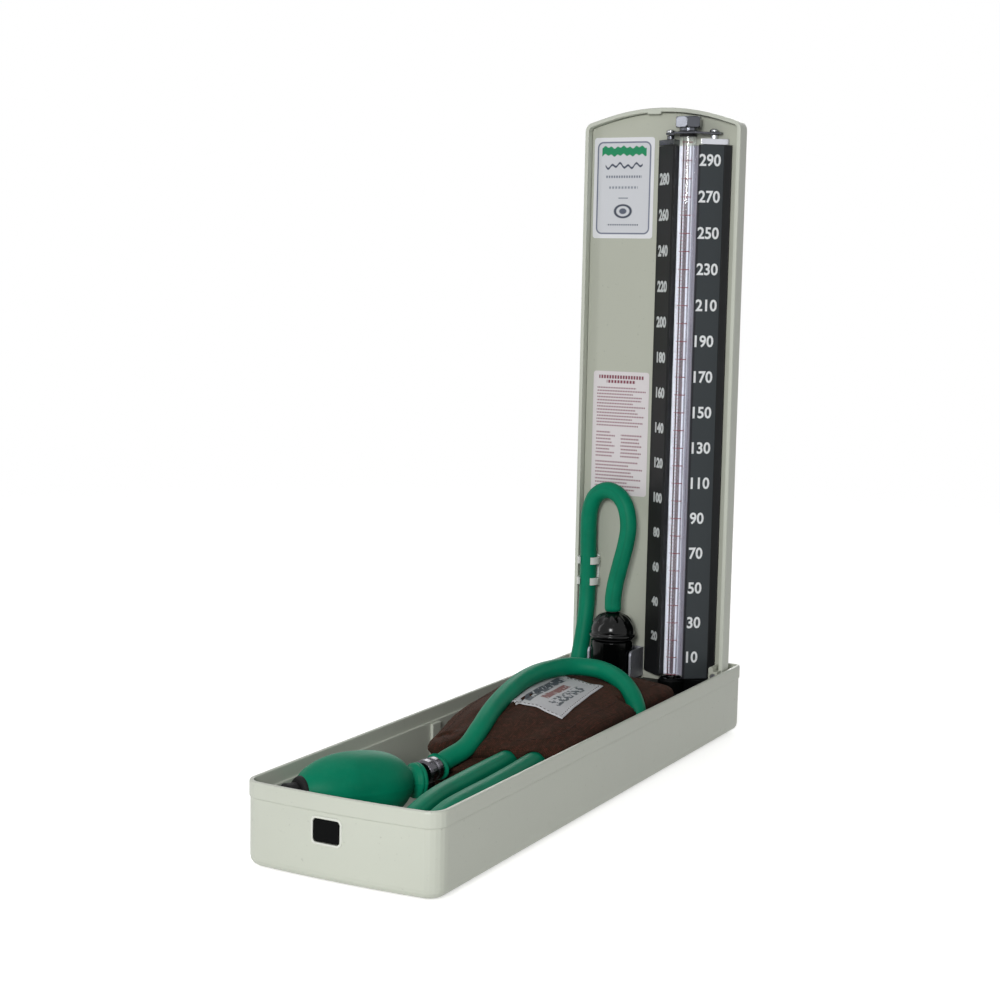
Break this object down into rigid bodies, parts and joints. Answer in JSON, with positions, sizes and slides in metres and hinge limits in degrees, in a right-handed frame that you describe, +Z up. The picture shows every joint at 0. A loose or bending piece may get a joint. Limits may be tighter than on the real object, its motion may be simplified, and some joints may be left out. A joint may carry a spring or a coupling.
{
  "type": "mercury sphygmomanometer",
  "caption": "Desk mercury blood pressure gauge in a hinged plastic case: upright lid with tube, scale and reservoir, tray with folded cuff, green hoses and squeeze bulb",
  "frame": {"origin": "middle of the case's footprint, on the surface that its four feet stand on", "axes": "+X across the case to the viewer's right, +Y along the case from its latch to its hinge, +Z up; the lid stands open at the +Y end"},
  "size_m": [0.098, 0.35, 0.35],
  "materials": {
    "case_plastic": "satin moulded plastic",
    "panel_plastic": "matt moulded plastic",
    "black_gloss": "polished black",
    "black_plastic": "satin black",
    "scale_paint": "satin dark grey paint",
    "white_plastic": "white",
    "chrome": "polished plating",
    "steel": "plain steel",
    "hose_rubber": "smooth green rubber",
    "black_rubber": "matt black rubber",
    "cuff_cloth": "plain woven cotton",
    "clear_glass": "clear glass",
    "mercury": "liquid metal"
  },
  "bodies": {
    "base": {"base_tray": "case_plastic", "foot_1": "black_rubber", "foot_2": "black_rubber", "foot_3": "black_rubber", "foot_4": "black_rubber", "latch_guide": "black_plastic", "latch_screw_left": "steel", "latch_screw_right": "steel", "latch_spring": "steel", "cuff": "cuff_cloth", "reservoir_hose": "hose_rubber", "bulb_hose": "hose_rubber", "bulb": "hose_rubber", "bulb_tail_valve": "black_rubber", "release_valve_body": "black_plastic"},
    "lid": {"lid_shell": "case_plastic", "lid_panel": "panel_plastic", "hinge_block_left": "panel_plastic", "hinge_block_right": "panel_plastic", "hinge_screw_left": "steel", "hinge_screw_right": "steel", "hinge_pin_left": "steel", "hinge_pin_right": "steel", "scale_plate": "scale_paint", "scale_cap_left": "chrome", "scale_cap_right": "chrome", "tube_backing": "white_plastic", "tube_gland": "black_plastic", "bottom_gasket": "black_rubber", "glass_tube": "clear_glass", "mercury_column": "mercury", "top_gasket": "black_rubber", "top_bridge": "chrome", "bridge_screw_left": "chrome", "bridge_screw_right": "chrome", "manifold_block": "black_plastic", "reservoir_body": "black_gloss", "cap_gasket": "black_rubber", "reservoir_bracket": "steel", "manifold_screw_1": "steel", "manifold_screw_2": "steel", "hose_clip": "white_plastic"},
    "latch": {"latch_button": "black_plastic"},
    "thumb_screw": {"release_thumb_screw": "chrome"},
    "clamp_nut": {"top_clamp_nut": "chrome"},
    "cap": {"reservoir_cap": "black_gloss"}
  },
  "joints": [
    {"name": "lid_hinge", "type": "hinge", "parent": "base", "child": "lid", "pos_m": [0, 0.14775, 0.02975], "axis": [1, 0, 0], "range_deg": [0, 90], "deforming": ["reservoir_hose", "bulb_hose", "cuff", "bulb"]},
    {"name": "latch_slide", "type": "slide", "parent": "base", "child": "latch", "axis": [0, 1, 0], "range_m": [0, 0.003], "stiffness_N_per_m": 250, "springref_m": -0.002, "deforming": ["latch_spring"]},
    {"name": "release_screw_turn", "type": "hinge", "parent": "base", "child": "thumb_screw", "pos_m": [-0.0079, -0.0838, 0.018], "axis": [0, 0, 1], "range_deg": [0, 360]},
    {"name": "clamp_nut_turn", "type": "hinge", "parent": "lid", "child": "clamp_nut", "pos_m": [0.0176, 0.1466, 0.341], "axis": [0, 0, 1], "range_deg": [0, 360]},
    {"name": "reservoir_cap_turn", "type": "hinge", "parent": "lid", "child": "cap", "pos_m": [-0.017, 0.14075, 0.061], "axis": [0, 0, 1], "range_deg": [0, 90]}
  ]
}
